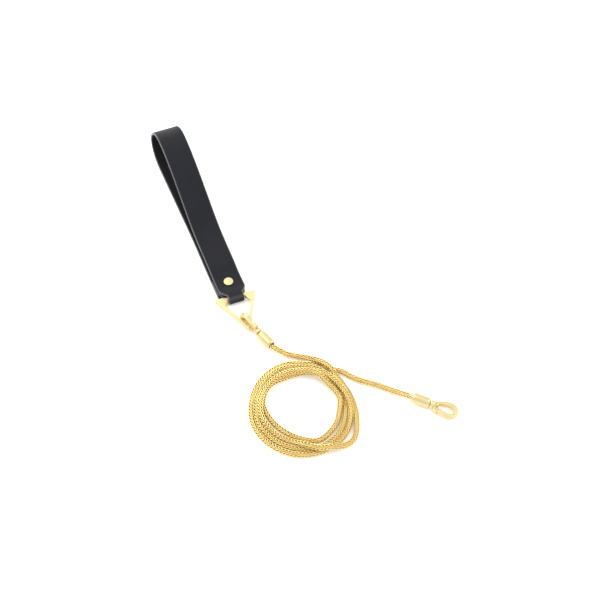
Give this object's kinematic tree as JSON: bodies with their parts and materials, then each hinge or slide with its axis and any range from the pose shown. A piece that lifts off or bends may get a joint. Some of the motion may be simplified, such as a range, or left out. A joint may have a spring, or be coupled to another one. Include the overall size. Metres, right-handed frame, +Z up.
{
  "type": "wristlet keychain",
  "caption": "Leather hand loop on a triangular ring, joined by a swivel snap hook to a coiled braided chain that ends in a second snap hook.",
  "frame": {"origin": "centre of the box round the strap and hardware, at table height", "axes": "+Y towards the far bend of the hand loop, +X to the side the second hook points to, +Z up off the table"},
  "size_m": [0.1692, 0.386, 0.0455],
  "materials": {
    "leather": "smooth satin black",
    "gold": "polished pale gold plate",
    "chain": "polished gold plate",
    "steel": "bright spring strip"
  },
  "bodies": {
    "chain": {"handle_clip_ferrule": "gold", "free_clip_ferrule": "gold", "handle_clip_swivel_washer": "gold", "free_clip_swivel_washer": "gold", "chain_run_to_coil": "chain", "chain_coil": "chain", "chain_run_to_clip": "chain"},
    "handle_hook": {"handle_clip_hook": "gold", "handle_clip_swivel_pin": "gold", "handle_clip_gate_pin": "gold", "handle_clip_gate_spring": "steel"},
    "handle_gate": {"handle_clip_gate": "gold"},
    "ring": {"triangle_ring": "gold"},
    "strap": {"hand_strap": "leather", "rivet_cap": "gold", "rivet_post": "gold"},
    "free_hook": {"free_clip_hook": "gold", "free_clip_swivel_pin": "gold", "free_clip_gate_pin": "gold", "free_clip_gate_spring": "steel"},
    "free_gate": {"free_clip_gate": "gold"}
  },
  "joints": [
    {"name": "handle_swivel", "type": "hinge", "parent": "chain", "child": "handle_hook", "pos_m": [-0.05265, -0.0508, 0.00624], "axis": [-0.3407, 0.9361, 0.0872], "continuous": true},
    {"name": "handle_gate", "type": "hinge", "parent": "handle_hook", "child": "handle_gate", "pos_m": [-0.05476, -0.04499, 0.0113], "axis": [-0.9397, -0.342, 0], "range_deg": [0, 14], "stiffness_Nm_per_rad": 0.05, "springref_deg": -2.86},
    {"name": "ring_swing", "type": "hinge", "parent": "handle_hook", "child": "ring", "pos_m": [-0.05946, -0.04004, 0.00644], "axis": [0.9994, -0.0349, 0], "range_deg": [0, 12]},
    {"name": "strap_hinge", "type": "hinge", "parent": "ring", "child": "strap", "pos_m": [-0.0582, -0.0039, 0.00474], "axis": [0.9994, -0.0349, 0], "range_deg": [0, 85]},
    {"name": "free_swivel", "type": "hinge", "parent": "chain", "child": "free_hook", "pos_m": [0.0567, -0.1733, 0.00466], "axis": [0.7226, -0.6857, -0.0872], "continuous": true},
    {"name": "free_gate", "type": "hinge", "parent": "free_hook", "child": "free_gate", "pos_m": [0.05837, -0.18109, 0.00408], "axis": [0.0632, -0.06, 0.9962], "range_deg": [0, 14], "stiffness_Nm_per_rad": 0.05, "springref_deg": -2.86}
  ]
}
